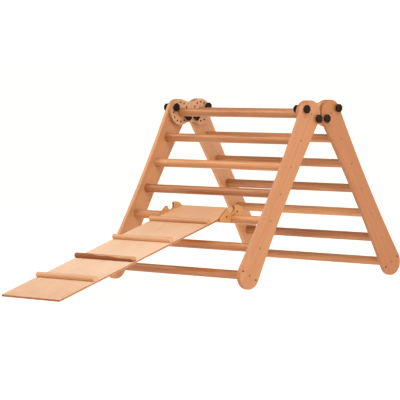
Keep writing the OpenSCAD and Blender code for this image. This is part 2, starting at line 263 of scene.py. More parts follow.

# %% [markdown]
# ### Plywood
# A plywood face is one rotary-cut sheet, so its figure is broad, soft and light in
# colour. Its edge tells the story of the board: plies of about 1.4 mm, turned by a
# right angle each time, so that long grain and darker end grain take turns, with a
# thin line of glue between them. The layer number is simply the depth divided by the
# ply. Where the edge runs across the board, the plies change places, which `end`
# tells. The ramp's panel gets painted shade that grows towards both its ends, most at
# the top end under the ladder's frame. It is least shaded 0.1 m downhill of its
# middle, so the middle's place along the grain has a name.

# %% Plywood
def plywood(light, dark, end_grain, board_t, plies, least_shaded_at=0.0):
    """A face gets painted shade that grows with the distance along its grain from `least_shaded_at`, if
    that is given.
    """
    ply_t = board_t / plies

    def paint(m):
        grain = carried(m, "grain")
        along, across, depth = m.parts(grain)
        level = depth.most(ply_t * 0.1).least(board_t - ply_t * 0.1) / ply_t
        ends = carried(m, "end", "Fac").ease(0.6, 0.8)
        crosswise = ((level.whole() / 2).rest().above(0.25) - ends).size()
        from_middle = (level - plies / 2).size()
        glue = (level.rest() - 0.5).size().ease(0.44, 0.49)
        glue = glue * from_middle.ease(plies / 2, plies / 2 - 0.5)
        wander = noise(m, grain, (3.2, 11, 0.1), 2.0)
        figure = ((across * 26 + wander * 7).rest() - 0.5).size() * 2
        fibre = noise(m, grain, (16, 620, 620), 4.0)
        pith = noise(m, grain, (140, 1300, 1300), 1.0).ease(0.62, 0.72)
        cloud = noise(m, grain, (5, 9, 9), 3.0)
        tone = figure * 0.16 + (fibre - 0.5) * 0.45 + (cloud - 0.5) * 0.5 + 0.3
        # Painted shade: darker the farther along the grain from least_shaded_at.
        if least_shaded_at:
            tone = tone + (along - least_shaded_at).size() * 1.6 - 0.25
        face = blend(m, tone.most(0.0).least(1.0), light, dark)
        face = blend(m, pith * 0.35, face, end_grain)
        veneer = from_middle.above(plies / 2 - 1)
        face = blend(m, (1 - veneer) * 0.85, face, end_grain)
        pores = noise(m, grain, (1500, 1500, 900), 2.0)
        sawn = blend(m, pores.ease(0.35, 0.7), end_grain, dark)
        wood = blend(m, crosswise * 0.85, face, sawn)
        wood = blend(m, ends * 0.5, wood, end_grain)
        wood = blend(m, glue * 0.6, wood, rgb(120, 66, 36))
        height = fibre * 0.5 - pith * 0.3 - glue * 0.8 - crosswise * pores * 0.5
        return {"Base Color": wood, "Roughness": 0.5 + crosswise * 0.14 + (fibre - 0.5) * 0.12,
                "Normal": bumped(m, height, 0.00012), "Specular IOR Level": 0.4}
    return paint

PANEL_LOG = 20.0
hinge_ply = finish("birch_ply", plywood(
    rgb(208, 159, 121), rgb(184, 133, 97), rgb(160, 108, 70), board_t=0.018, plies=13))
hook_ply = finish("birch_ply_thin", plywood(
    rgb(214, 158, 102), rgb(190, 128, 74), rgb(138, 78, 36), board_t=0.012, plies=9))
# The panel is painted with shade towards both its ends, most at the top end under the frame.
ramp_ply = finish("panel_ply", plywood(
    rgb(232, 202, 175), rgb(206, 158, 120), rgb(150, 84, 42), board_t=0.009, plies=7,
    least_shaded_at=PANEL_LOG + 0.1))

# %% [markdown]
# ### Moulded plastic, bright zinc and yellow zinc
# The knobs come out of a spark-eroded mould: near black, faintly warm, with a fine
# even pebble that breaks up the highlight. The bolts are plated in plain zinc, and
# their thread is a ripple along the bolt. The countersunk screws are passivated
# yellow, a film so thin that it drifts between olive, gold and brown, so each batch
# of screws has its own pair of colours.

# %% Plastic and zinc
def moulded(m):
    place = m.add("ShaderNodeTexCoord", out="Object")
    pebble = noise(m, place, (2600, 2600, 2600), 1.0)
    rub = noise(m, place, (160, 160, 160), 3.0).ease(0.55, 0.8)
    return {"Base Color": blend(m, rub * 0.5, rgb(34, 22, 10), rgb(48, 34, 18)),
            "Roughness": 0.5 + pebble * 0.1 - rub * 0.08,
            "Normal": bumped(m, pebble, 0.00008), "Specular IOR Level": 0.16}

def threaded_zinc(m):
    place = m.add("ShaderNodeTexCoord", out="Object")
    ridge = ((m.parts(place)[0] / (1.25 * MM)).rest() - 0.5).size() * 2
    haze = noise(m, place, (900, 900, 900), 3.0)
    return {"Base Color": blend(m, haze, rgb(206, 206, 200), rgb(168, 170, 166)),
            "Metallic": 1.0, "Roughness": 0.3 + haze * 0.2, "Normal": bumped(m, ridge, 0.0005)}

def yellow_zinc(one, other):
    def paint(m):
        place = m.add("ShaderNodeTexCoord", out="Object")
        film = noise(m, place, (420, 420, 420), 2.0)
        haze = noise(m, place, (2200, 2200, 2200), 2.0)
        return {"Base Color": blend(m, film.ease(0.3, 0.7), one, other),
                "Metallic": 0.55, "Roughness": 0.4 + haze * 0.2, "Normal": bumped(m, haze, 0.00003)}
    return paint

black_plastic = finish("black_plastic", moulded)
bright_zinc = finish("zinc_bolt", threaded_zinc)
olive_zinc = finish("yellow_zinc", yellow_zinc(rgb(122, 134, 62), rgb(142, 130, 66)))
dull_zinc = finish("yellow_zinc_dull", yellow_zinc(rgb(150, 104, 66), rgb(164, 120, 82)))
bronze_zinc = finish("yellow_zinc_bronze", yellow_zinc(rgb(104, 58, 28), rgb(124, 78, 40)))

# %% [markdown]
# ## Growing a mesh from a tree
# A Geometry Nodes tree is a recipe with named sizes. `new_recipe` opens one,
# `serve` closes it, and `grow` runs it once on a start mesh and keeps the result as a
# plain mesh. The stored attribute `grain` is written before the pieces are repeated,
# and each copy is then moved on in the log, so that no two rungs show the same wood.

# %% Recipes
SOCKETS = {float: "NodeSocketFloat", int: "NodeSocketInt", tuple: "NodeSocketVector"}

def new_recipe(name, **sizes):
    tree = bpy.data.node_groups.new(name, "GeometryNodeTree")
    face = tree.interface
    face.new_socket("Start", in_out="INPUT", socket_type="NodeSocketGeometry")
    for key, value in sizes.items():
        socket = face.new_socket(key, in_out="INPUT", socket_type=SOCKETS[type(value)])
        socket.default_value = value
    face.new_socket("Finish", in_out="INPUT", socket_type="NodeSocketMaterial")
    face.new_socket("Result", in_out="OUTPUT", socket_type="NodeSocketGeometry")
    m = Maker(tree)
    start = tree.nodes.new("NodeGroupInput")
    m.given = {s.name: Wire(m, s) for s in start.outputs if s.name}
    return m

def serve(m, geometry):
    whole = m.add("GeometryNodeRealizeInstances", {}, {"Geometry": geometry})
    done = m.add("GeometryNodeSetMaterial", {}, {"Geometry": whole, "Material": m.given["Finish"]})
    m.plug(m.tree.nodes.new("NodeGroupOutput").inputs[0], done)
    print(f"recipe {m.tree.name}: {len(m.tree.nodes)} nodes")
    return m.tree

def store(m, geometry, name, value, domain="POINT", kind="FLOAT_VECTOR"):
    return m.add("GeometryNodeStoreNamedAttribute", {"data_type": kind, "domain": domain},
                 {"Geometry": geometry, "Name": name, "Value": value})

def named(m, name, kind="FLOAT"):
    return m.add("GeometryNodeInputNamedAttribute", {"data_type": kind}, {"Name": name})

def add_vectors(m, one, other):
    return m.add("ShaderNodeVectorMath", {"operation": "ADD"}, {0: one, 1: other})

# %% Running a recipe once
def grow(recipe, start, **sizes):
    bench = bpy.data.objects.new("bench", start)
    bpy.context.scene.collection.objects.link(bench)
    run = bench.modifiers.new("recipe", "NODES")
    run.node_group = recipe
    sockets = {s.name: s.identifier for s in recipe.interface.items_tree if s.in_out == "INPUT"}
    for key, value in sizes.items():
        run[sockets[key]] = value
    graph = bpy.context.evaluated_depsgraph_get()
    mesh = bpy.data.meshes.new_from_object(
        bench.evaluated_get(graph), preserve_all_data_layers=True, depsgraph=graph)
    bpy.data.objects.remove(bench)
    return mesh

def tidy(mesh):
    """Smooth shading with crisp edges where two faces meet at more than 35 degrees."""
    mesh.shade_smooth()
    mesh.set_sharp_from_angle(angle=math.radians(35))
    check = bmesh.new()
    check.from_mesh(mesh)
    loose = sum(not e.is_contiguous for e in check.edges)
    volume = check.calc_volume(signed=True)
    check.free()
    return loose, volume

def set_down(name, mesh, body, slot, *nodes):
    """Makes the finished mesh an object that rides on a body and stands for CAD nodes."""
    loose, volume = tidy(mesh)
    piece = bpy.data.objects.new(name, mesh)
    bpy.context.scene.collection.objects.link(piece)
    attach(piece, body)
    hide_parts(*nodes)
    print(f"{name}: {len(mesh.polygons)} faces, {loose} open, {volume * 1e6:.1f} cm3")
    return piece

# %% [markdown]
# ## Rungs and cleats
# A rung is a turned rod with its ends chamfered, so that it starts easily in its
# seat. A cleat is the same rod, planed flat on one side. A circle swept along a
# line of four points makes both: the end points scale the circle down for the
# chamfer. The line of rods is an instance on each point of a mesh line. Doing it
# with modifiers would take an Array and a Bevel; here the pitch and the count are
# the ladder's own numbers. Each copy gets a random tone, stored as `tone`,
# from a cosine of its number, which jumps about as if by chance and still comes out
# the same in every run.

# %% The rod recipe
rods = new_recipe("rods", Diameter=0.035, Length=0.771, Chamfer=0.001, Flat=0.02,
                  Count=7, Pitch=(0.0, 0.12, 0.0), Cut=0.0, Heart=-1)
size = rods.given
index = rods.add("GeometryNodeInputIndex")
last_half = index.above(1.5)
inner = 1 - index.near(0) - index.near(3)
line = rods.add("GeometryNodeMeshLine", {}, {"Count": 4})
line = rods.add("GeometryNodeSetPosition", {}, {
    "Geometry": line,
    "Position": rods.vector(x=(last_half * 2 - 1) * (size["Length"] / 2 - inner * size["Chamfer"]))})
line = rods.add("GeometryNodeMeshToCurve", {}, {"Mesh": line})
line = rods.add("GeometryNodeSetCurveNormal", {"mode": "Z_UP"}, {"Curve": line})
radius = size["Diameter"] / 2
ring = rods.add("GeometryNodeCurvePrimitiveCircle", {}, {"Resolution": 48, "Radius": radius})
rod = rods.add("GeometryNodeCurveToMesh", {}, {
    "Curve": line, "Profile Curve": ring, "Fill Caps": True,
    "Scale": 1 - (1 - inner) * (size["Chamfer"] / radius)})
rx, ry, rz = rods.parts(rods.add("GeometryNodeInputPosition"))
rod = rods.add("GeometryNodeSetPosition", {}, {
    "Geometry": rod, "Position": rods.vector(rx, ry, rz.most(0 - size["Flat"]))})
place = rods.add("GeometryNodeInputPosition")
rod = store(rods, store(rods, rod, "grain", place), "spot", place)
row = rods.add("GeometryNodeMeshLine", {}, {"Count": size["Count"], "Offset": size["Pitch"]})
row = rods.add("GeometryNodeInstanceOnPoints", {}, {"Points": row, "Instance": rod})
row = store(rods, row, "cut", (index + size["Cut"]) * 0.61, "INSTANCE", "FLOAT")
row = store(rods, row, "heart", index.near(size["Heart"]), "INSTANCE", "FLOAT")
row = store(rods, row, "tone", ((index + size["Cut"]) * 3.9).cos() * -0.3, "INSTANCE", "FLOAT")
row = rods.add("GeometryNodeRealizeInstances", {}, {"Geometry": row})
cut = named(rods, "cut")
row = store(rods, row, "grain", add_vectors(
    rods, named(rods, "grain", "FLOAT_VECTOR"), rods.vector(cut * 7, (cut * 2.3).sin() * 0.3, cut * 0.4)))
rod_recipe = serve(rods, row)

# %% Fourteen rungs and four cleats
empty = bpy.data.meshes.new("empty")
rung_low, rung_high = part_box("front_rung_1")
rung_d = rung_high.z - rung_low.z
rung_pitch = (middle("front_rung_2") - middle("front_rung_1")).length
for number, end in enumerate(LADDERS):
    mesh = grow(rod_recipe, empty, Diameter=rung_d, Length=rung_high.x - rung_low.x, Flat=rung_d,
                Chamfer=1 * MM, Count=7, Pitch=(0, rung_pitch, 0), Cut=14.0 + 19.0 * number,
                Heart=-1, Finish=beech_rung)
    mesh.transform(bench_to(pivot[end], X, X.cross(down[end])))
    set_down(f"{end}_rungs", mesh, f"{end}_ladder", "beech_rung",
             *[f"{end}_rung_{k}" for k in range(1, 8)])

cleat_pitch = (middle("cleat_2") - middle("cleat_1")).length
cleat_low, cleat_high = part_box("cleat_1")
cleat_d, cleat_h = 22 * MM, 18.5 * MM
carrier = middle("front_rung_5")
turn_gap = 0.3 * MM
hook_r = rung_d / 2 + turn_gap
panel_under, panel_t = 17.8 * MM, 9 * MM
panel_top = panel_under + panel_t
first = (middle("cleat_1") - carrier).dot(uphill)
at = carrier + uphill * first + square_up * (panel_top + cleat_h - cleat_d / 2)
at.x = ramp_x
mesh = grow(rod_recipe, empty, Diameter=cleat_d, Length=cleat_high.x - cleat_low.x,
            Flat=cleat_h - cleat_d / 2, Chamfer=1 * MM, Count=4, Pitch=(0, cleat_pitch, 0),
            Cut=61.0, Heart=1, Finish=beech_cleat)
mesh.transform(bench_to(at, X, square_up))
set_down("cleats", mesh, "ramp", "beech_rung", *[f"cleat_{k}" for k in range(1, 5)])

# %% [markdown]
# ## Boards: rails, hinge plates, brackets and the panel
# Every other wooden piece is a board: an outline, some holes, a thickness and an
# edge that a router has rounded. A Bevel modifier stumbles on a face that is full
# of holes, so the recipe builds the edge first. It sweeps the edge's section round
# the outline and each hole, then fills the flat faces between the inner rims. A
# narrow flat strip inside each rim keeps the shading of the faces dead flat.
#
# The outlines are drawn as rings of points, anticlockwise, and the holes clockwise,
# so that the wood is always on the left. Two attributes go with each point: `kind`
# says what it bounds and `mouth` how wide its rounding or chamfer is.

# %% The kinds of ring, and a section swept round them
OUTLINE, THROUGH, FRONT_POCKET, BACK_POCKET = range(4)
STRIP = 0.3 * MM
STEPS = 5

boards = new_recipe("boards", Thickness=0.018, Edge=0.003, Mouth=0.0005,
                    Seat_mouth=0.001, Seat_depth=0.01, Sink_mouth=0.00225, Sink_depth=0.006,
                    Cut=(0.0, 0.0, 0.0), Tone=0.0)
size = boards.given
index = boards.add("GeometryNodeInputIndex")
thick = size["Thickness"]

def outer_section(edge, steps):
    """Strip, rounding, wall, rounding, strip; one step makes the rounding a chamfer."""
    count = 2 * steps + 4
    step = (index - 1).most(0).least(count - 3)
    upper = step.above(steps + 0.5)
    angle = (step - upper) * (math.pi / 2 / steps)
    strip = (index.near(0) + index.near(count - 1)) * STRIP
    return section(count, edge * angle.sin() - edge - strip,
                   edge - edge * angle.cos() + upper * (thick - edge * 2))

def pocket_section(mouth, deep, back):
    """Strip, chamfer and wall of a hole that one face alone shows."""
    x = 0 - (index.near(0) + index.near(1)) * mouth - index.near(0) * STRIP
    y = index.near(2) * mouth + index.near(3) * deep
    return section(4, x, thick - y if back else y)

def section(count, x, y):
    line = boards.add("GeometryNodeMeshLine", {}, {"Count": count})
    line = boards.add("GeometryNodeSetPosition", {}, {
        "Geometry": line, "Position": boards.vector(x, 0 - y)})
    return boards.add("GeometryNodeMeshToCurve", {}, {"Mesh": line})

# %% The board recipe
rings = boards.add("GeometryNodeMeshToCurve", {}, {"Mesh": size["Start"]})
rings = boards.add("GeometryNodeSetCurveNormal", {"mode": "Z_UP"}, {"Curve": rings})
kind = named(boards, "kind")
inward = boards.add("ShaderNodeVectorMath", {"operation": "SCALE"}, {
    0: boards.add("GeometryNodeInputNormal"), "Scale": 0 - named(boards, "mouth") - STRIP})
rims = boards.add("GeometryNodeSetPosition", {}, {"Geometry": rings, "Offset": inward})

def only(geometry, *kinds):
    chosen = sum(kind.near(k) for k in kinds)
    return boards.add("GeometryNodeSeparateGeometry", {"domain": "POINT"},
                      {"Geometry": geometry, "Selection": chosen})

def swept(which, profile, back=False):
    wall = boards.add("GeometryNodeCurveToMesh", {}, {
        "Curve": only(rings, which), "Profile Curve": profile})
    return wall if back else boards.add("GeometryNodeFlipFaces", {}, {"Mesh": wall})

def flat(curves, height, down):
    face = boards.add("GeometryNodeFillCurve", {"mode": "TRIANGLES"}, {"Curve": curves})
    face = boards.add("GeometryNodeTransform", {}, {
        "Geometry": face, "Translation": boards.vector(z=height)})
    return boards.add("GeometryNodeFlipFaces", {}, {"Mesh": face}) if down else face

board = boards.add("GeometryNodeJoinGeometry", {}, {"Geometry": [
    swept(OUTLINE, outer_section(size["Edge"], STEPS)),
    swept(THROUGH, outer_section(size["Mouth"], 1)),
    swept(FRONT_POCKET, pocket_section(size["Seat_mouth"], size["Seat_depth"], False)),
    swept(BACK_POCKET, pocket_section(size["Sink_mouth"], size["Sink_depth"], True), True),
    flat(only(rims, OUTLINE, THROUGH, FRONT_POCKET), 0.0, True),
    flat(only(rims, OUTLINE, THROUGH, BACK_POCKET), thick, False),
    flat(only(rings, FRONT_POCKET), size["Seat_depth"], True),
    flat(only(rings, BACK_POCKET), thick - size["Sink_depth"], False),
]})
board = boards.add("GeometryNodeMergeByDistance", {}, {"Geometry": board, "Distance": 2e-6})
place = boards.add("GeometryNodeInputPosition")
board = store(boards, board, "grain", add_vectors(boards, place, size["Cut"]))
# Painted shading: the rails' painted light and shade, 0 on every other board.
board = store(boards, board, "tone", size["Tone"], kind="FLOAT")
along_grain = boards.parts(boards.add("GeometryNodeInputNormal"))[0]
board = store(boards, board, "end", along_grain.size(), kind="FLOAT")
board_recipe = serve(boards, board)

# %% [markdown]
# Now the outlines. All of them are arcs that meet without a corner, as a template
# and a router would cut them, so one helper that lays points along an arc is enough.
# Rails and hinge plates share one shape: round ends, and long edges hollowed to a
# waist. The hollow's circle touches both ends from outside, which gives its radius.

# %% Arcs, and a start mesh of rings
def arc(x, y, radius, start, end, step=5):
    count = max(2, round(abs(end - start) / step))
    angles = [math.radians(start + (end - start) * k / count) for k in range(count + 1)]
    return [(x + radius * math.cos(a), y + radius * math.sin(a)) for a in angles]

def waisted(start, end, radius, waist):
    """Round ends about two points of the x axis, with hollow edges between them."""
    half, centre = (end - start) / 2, (end + start) / 2
    hollow_r = (half ** 2 + (waist / 2) ** 2 - radius ** 2) / (2 * radius - waist)
    hollow_y = waist / 2 + hollow_r
    turn = math.degrees(math.atan2(hollow_y, -half))
    step = (2 * turn - 180) / 24
    print(f"hollow edge: radius {hollow_r * 1000:.1f} mm over {2 * turn - 180:.2f} degrees")
    return (arc(end, 0, radius, -turn, turn)
            + arc(centre, hollow_y, hollow_r, turn - 180, -turn, step)
            + arc(start, 0, radius, 180 - turn, 180 + turn)
            + arc(centre, -hollow_y, hollow_r, turn, 180 - turn, step))

def without_doubles(points):
    ahead = points[1:] + points[:1]
    return [p for p, q in zip(points, ahead) if math.dist(p, q) > 0.02 * MM]

def drawn(outline, edge, holes):
    """A mesh of closed rings: the outline, then holes of (kind, x, y, radius, mouth)."""
    points, links, kinds, mouths = [], [], [], []
    shapes = [(OUTLINE, edge, without_doubles(outline))]
    for kind, x, y, radius, mouth in holes:
        shapes.append((kind, mouth, arc(x, y, radius, 360, 0, 10 if radius < 0.01 else 6)[:-1]))
    for kind, mouth, shape in shapes:
        base, count = len(points), len(shape)
        points += [(x, y, 0) for x, y in shape]
        links += [(base + k, base + (k + 1) % count) for k in range(count)]
        kinds += [kind] * count
        mouths += [mouth] * count
    mesh = bpy.data.meshes.new("rings")
    mesh.from_pydata(points, links, [])
    mesh.attributes.new("kind", "FLOAT", "POINT").data.foreach_set("value", [float(k) for k in kinds])
    mesh.attributes.new("mouth", "FLOAT", "POINT").data.foreach_set("value", mouths)
    return mesh

# %% [markdown]
# ### Rails
# A rail is 110 mm wide at its round ends, where the bolts need wood around them, and
# slims to 88 mm midway. Its inner face has a blind seat for each rung, its outer face
# a countersink for each screw, and two bolt holes go through beside each end rung.
# Each board is also painted lighter or darker on its own: painted shade on the near
# rails, most on the rear one, and painted light on the far rails, most on the rear
# one, whose inner face the near frames shade.

# %% Four rails
rail_w, rail_waist = (rung_high - rung_low).z + 75 * MM, 88 * MM
rail_t = rail_out - rail_face
ring_r = 40.5 * MM
bolt_r = 4.25 * MM
run = rung_pitch * 6
rail_outline = waisted(0, run, rail_w / 2, rail_waist)
rail_edge, mouth = 3 * MM, 0.5 * MM
seat_r, seat_mouth, seat_depth = rung_d / 2 + 0.15 * MM, 1 * MM, 10 * MM
sink_r, sink_mouth, sink_depth = 2.6 * MM, 2.25 * MM, 6 * MM
rail_holes = [(FRONT_POCKET, rung_pitch * k, 0, seat_r, seat_mouth) for k in range(7)]
rail_holes += [(BACK_POCKET, rung_pitch * k, 0, sink_r, sink_mouth) for k in range(7)]
rail_holes += [(THROUGH, x, y, bolt_r, mouth) for x in (0, run) for y in (-ring_r, ring_r)]
# Painted light and shade per rail: a positive value darkens a board, a negative one lightens it.
rail_painted_shading = {("front", "near"): 0.08, ("front", "far"): -0.1,
              ("rear", "near"): 0.35, ("rear", "far"): -0.6}
for number, (end, side) in enumerate(rail_painted_shading):
    out = X * SIDES[side]
    mesh = grow(board_recipe, drawn(rail_outline, rail_edge, rail_holes),
                Thickness=rail_t, Edge=rail_edge, Mouth=mouth, Seat_mouth=seat_mouth,
                Seat_depth=seat_depth, Sink_mouth=sink_mouth, Sink_depth=sink_depth,
                Cut=(3.1 * number, 0.021 * number - 0.02, 0.013 * number),
                Tone=rail_painted_shading[end, side], Finish=beech_rail)
    origin = Vector((rail_face * SIDES[side], pivot[end].y, pivot[end].z))
    mesh.transform(bench_to(origin, down[end], out))
    set_down(f"{end}_rail_{side}_board", mesh, f"{end}_ladder", "beech", f"{end}_rail_{side}")

# %% [markdown]
# ### Hinge plates
# A figure of 8: two round ends joined by a web whose hollow waist runs into them
# without a corner. Each end has a bore in which the ladder's top rung turns, and a
# ring of twelve holes, one for each angle at which a ladder can be locked.

# %% Two hinge plates
reach = (pivot["rear"].y - pivot["front"].y) / 2
plate_waist, plate_edge, plate_mouth = 85 * MM, 2.5 * MM, 1 * MM
plate_outline = waisted(-reach, reach, rail_w / 2, plate_waist)
plate_holes = [(THROUGH, x, 0, rung_d / 2 + turn_gap, plate_mouth) for x in (-reach, reach)]
plate_holes += [
    (THROUGH, x + ring_r * math.cos(math.radians(30 * k)), ring_r * math.sin(math.radians(30 * k)),
     bolt_r, plate_mouth) for x in (-reach, reach) for k in range(12)]
plate_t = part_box("hinge_plate_near")[1].x - plate_face
for number, side in enumerate(SIDES):
    mesh = grow(board_recipe, drawn(plate_outline, plate_edge, plate_holes),
                Thickness=plate_t, Edge=plate_edge, Mouth=plate_mouth,
                Cut=(1.7 * number + 5, 0.4 * number, 0.0), Finish=hinge_ply)
    origin = middle(f"hinge_plate_{side}")
    origin.x = plate_face * SIDES[side]
    mesh.transform(bench_to(origin, Vector((0, 1, 0)), X * SIDES[side]))
    set_down(f"hinge_plate_{side}_board", mesh, "hinge_plates", "birch_ply", f"hinge_plate_{side}")

# %% [markdown]
# ### Hook brackets
# Seen from the side a bracket is a long low hump, a notch for the rung and a short
# high hump, the same upwards and downwards, so that the ramp also works turned over.
# Only the upper half is drawn, from the round end over the humps to the nose. The
# ramp's screws are thinner than the rungs', so their countersinks are narrower.

# %% Two brackets
half_t = panel_t / 2
floor_y = half_t + hook_r
nose_r, tip_r, crest_r = 7.2 * MM, 8.1 * MM, 3 * MM
nose_x, tip_x = nose_r - 76 * MM, 60 * MM - tip_r
low_top, top = half_t + 24 * MM, half_t + 25 * MM
low_x, low_y = -hook_r - crest_r, low_top - crest_r
top_x, top_y = hook_r + crest_r, top - crest_r
back_r = ((tip_x - top_x) ** 2 + top ** 2 - tip_r ** 2) / (2 * (top - tip_r))
lean_of_tip = math.degrees(math.atan2(back_r - top, tip_x - top_x))
slope_run = math.hypot(low_x - nose_x, low_y)
facing = math.degrees(math.atan2(low_y, low_x - nose_x) + math.acos((nose_r - crest_r) / slope_run))
upper = (
    arc(tip_x, 0, tip_r, 0, lean_of_tip)
    + arc(top_x, top - back_r, back_r, lean_of_tip, 90, 4)
    + arc(top_x, top_y, crest_r, 90, 180, 15)
    + arc(0, floor_y, hook_r, 0, -180)
    + arc(low_x, low_y, crest_r, 0, facing, 15)
    + arc(nose_x, 0, nose_r, facing, 180, 8))
hook_outline = upper + [(x, -y) for x, y in reversed(upper)]
hook_screws = (-36.5 * MM, 26.5 * MM)
hook_t, hook_rim = 12 * MM, 1.2 * MM
thin_sink_r, thin_sink_mouth, thin_sink_depth = 2.1 * MM, 2 * MM, 5 * MM
hook_holes = [(BACK_POCKET, x, 0, thin_sink_r, thin_sink_mouth) for x in hook_screws]
panel_low, panel_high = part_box("ramp_panel")
hook_edge = {"near": panel_high.x, "far": panel_low.x}
for number, side in enumerate(SIDES):
    mesh = grow(board_recipe, drawn(hook_outline, hook_rim, hook_holes), Thickness=hook_t,
                Edge=hook_rim, Sink_mouth=thin_sink_mouth, Sink_depth=thin_sink_depth,
                Cut=(2.2 * number + 9, 0.5 * number, 0.0), Finish=hook_ply)
    origin = carrier + square_up * floor_y
    origin.x = hook_edge[side]
    mesh.transform(bench_to(origin, uphill, X * SIDES[side]))
    set_down(f"hook_bracket_{side}_board", mesh, "ramp", "birch_ply", f"hook_bracket_{side}")

# %% [markdown]
# ### The ramp's panel
# A plain sheet of thin plywood. Its underside has three countersinks below each
# cleat, because the cleats are screwed on from below.

# %% One panel
panel_l, panel_w = 1014 * MM, panel_high.x - panel_low.x
over = 56 * MM
cleat_screws = (-130 * MM, 0, 130 * MM)
middle_u = over - panel_l / 2
corner, panel_rim = 3 * MM, 1.6 * MM
panel_outline = sum((arc(x * (panel_l / 2 - corner), y * (panel_w / 2 - corner), corner, a, a + 90, 15)
                     for x, y, a in ((1, -1, -90), (1, 1, 0), (-1, 1, 90), (-1, -1, 180))), [])
panel_holes = [
    (BACK_POCKET, -(first + cleat_pitch * k - middle_u), x, thin_sink_r, thin_sink_mouth)
    for k in range(4) for x in cleat_screws]
mesh = grow(board_recipe, drawn(panel_outline, panel_rim, panel_holes), Thickness=panel_t,
            Edge=panel_rim, Sink_mouth=thin_sink_mouth, Sink_depth=thin_sink_depth,
            Cut=(PANEL_LOG, 0.7, 0.0), Finish=ramp_ply)
origin = carrier + uphill * middle_u + square_up * panel_top
origin.x = ramp_x
mesh.transform(bench_to(origin, -uphill, -square_up))
set_down("ramp_panel_board", mesh, "ramp", "panel_ply", "ramp_panel")

# %% [markdown]
# ## Knobs
# A lobed knob is a turned shape that breathes: the section is swept round a small
# circle, as on a lathe, and then every point is drawn in towards the axis eight
# times on its way round. The cosine to a power leaves broad lobes and narrow
# hollows. The hub below the head stays round, so the drawing-in fades out there.

# %% The knob recipe
AXIS = 0.5 * MM
knobs = new_recipe("knobs", Lobes=8, Hollow=0.0016, Hub=0.011)
size = knobs.given
section_curve = knobs.add("GeometryNodeMeshToCurve", {}, {"Mesh": size["Start"]})
around = knobs.add("GeometryNodeCurvePrimitiveCircle", {}, {"Resolution": 96, "Radius": AXIS})
around = knobs.add("GeometryNodeSetCurveNormal", {"mode": "Z_UP"}, {"Curve": around})
knob = knobs.add("GeometryNodeCurveToMesh", {}, {"Curve": around, "Profile Curve": section_curve})
kx, ky, kz = knobs.parts(knobs.add("GeometryNodeInputPosition"))
angle = knobs.math("ARCTAN2", ky, kx)
radius = (kx * kx + ky * ky) ** 0.5
hollow = ((1 + (angle * size["Lobes"]).cos()) / 2) ** 1.7
draw = 1 - hollow * size["Hollow"] / radius.most(AXIS) * radius.ease(size["Hub"], 0.0165)
knob = knobs.add("GeometryNodeSetPosition", {}, {
    "Geometry": knob, "Position": knobs.vector(kx * draw, ky * draw, kz)})
knob = knobs.add("GeometryNodeMergeByDistance", {}, {"Geometry": knob, "Distance": 2e-6})
knob = knobs.add("GeometryNodeFlipFaces", {}, {"Mesh": knob})
knob_recipe = serve(knobs, knob)

# %% Turned sections
def turned(*points):
    """The start mesh of a lathe: a line of (radius, height) points, in millimetres."""
    mesh = bpy.data.meshes.new("section")
    mesh.from_pydata([(r * MM - AXIS, -h * MM, 0) for r, h in points],
                     [(k, k + 1) for k in range(len(points) - 1)], [])
    return mesh

# %% [markdown]
# The section goes from the floor of the bolt's bore, down its wall, over the foot
# of the hub and up to the head. The face is dished a little, and its middle is the
# round mark that the mould's ejector leaves.

# %% Sixteen knobs
knob_section = turned(
    (0, 10.8), (4.3, 10.8), (4.3, 0.3), (4.6, 0), (8.6, 0), *arc(9, 1, 1, -90, 0, 30),
    (10, 5.4), (10.6, 6), *arc(14.7, 8.8, 2.8, -90, 0, 15), *arc(14.5, 12, 3, 0, 90, 15),
    (13.4, 14.9), (12.4, 14.5), (6.3, 14.35), *arc(5.9, 14.1, 0.25, 90, 180, 45), (5.5, 13.9),
    (0, 13.9))
knob_mesh = grow(knob_recipe, knob_section, Lobes=8, Hollow=1.6 * MM, Hub=11 * MM,
                 Finish=black_plastic)
for node in sorted(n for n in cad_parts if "_knob_" in n):
    low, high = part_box(node)
    outward = SIDES["near" if "_near_" in node else "far"]
    if "_inner_" in node:
        outward = -outward
    seat = Vector((low.x if outward > 0 else high.x, (low.y + high.y) / 2, (low.z + high.z) / 2))
    mesh = knob_mesh.copy()
    mesh.transform(bench_to(seat, Vector((0, 1, 0)), X * outward))
    set_down(f"{node}_moulding", mesh, node, "black_plastic", node)

# %% [markdown]
# ## Screws
# A countersunk screw is turned, too: a flat head, a cone, and a shank with its
# thread, drawn here as rings because it never shows. What does show is the cross
# recess, cut by a Mesh Boolean with two crossed wedges. A second recipe sets the
# finished screw on points, turns it to face along each point's `aim`, and spins it
# by a seeded random angle, since no two screws stop at the same turn.

# %% The screw recipe
screws = new_recipe("screws", Recess_length=0.0052, Recess_width=0.0012, Recess_depth=0.002)
size = screws.given
section_curve = screws.add("GeometryNodeMeshToCurve", {}, {"Mesh": size["Start"]})
around = screws.add("GeometryNodeCurvePrimitiveCircle", {}, {"Resolution": 24, "Radius": AXIS})
around = screws.add("GeometryNodeSetCurveNormal", {"mode": "Z_UP"}, {"Curve": around})
body = screws.add("GeometryNodeCurveToMesh", {}, {"Curve": around, "Profile Curve": section_curve})
body = screws.add("GeometryNodeMergeByDistance", {}, {"Geometry": body, "Distance": 2e-6})
body = screws.add("GeometryNodeFlipFaces", {}, {"Mesh": body})
wedge = screws.add("GeometryNodeMeshCube", {}, {"Size": screws.vector(1.0, 1.0, 1.0)})
wx, wy, wz = screws.parts(screws.add("GeometryNodeInputPosition"))
taper = 0.62 + wz.above(0) * 0.76
wedge = screws.add("GeometryNodeSetPosition", {}, {"Geometry": wedge, "Position": screws.vector(
    wx * taper * size["Recess_length"], wy * size["Recess_width"], wz * 2 * size["Recess_depth"])})
crossed = screws.add("GeometryNodeTransform", {}, {
    "Geometry": wedge, "Rotation": (0, 0, math.pi / 2)})
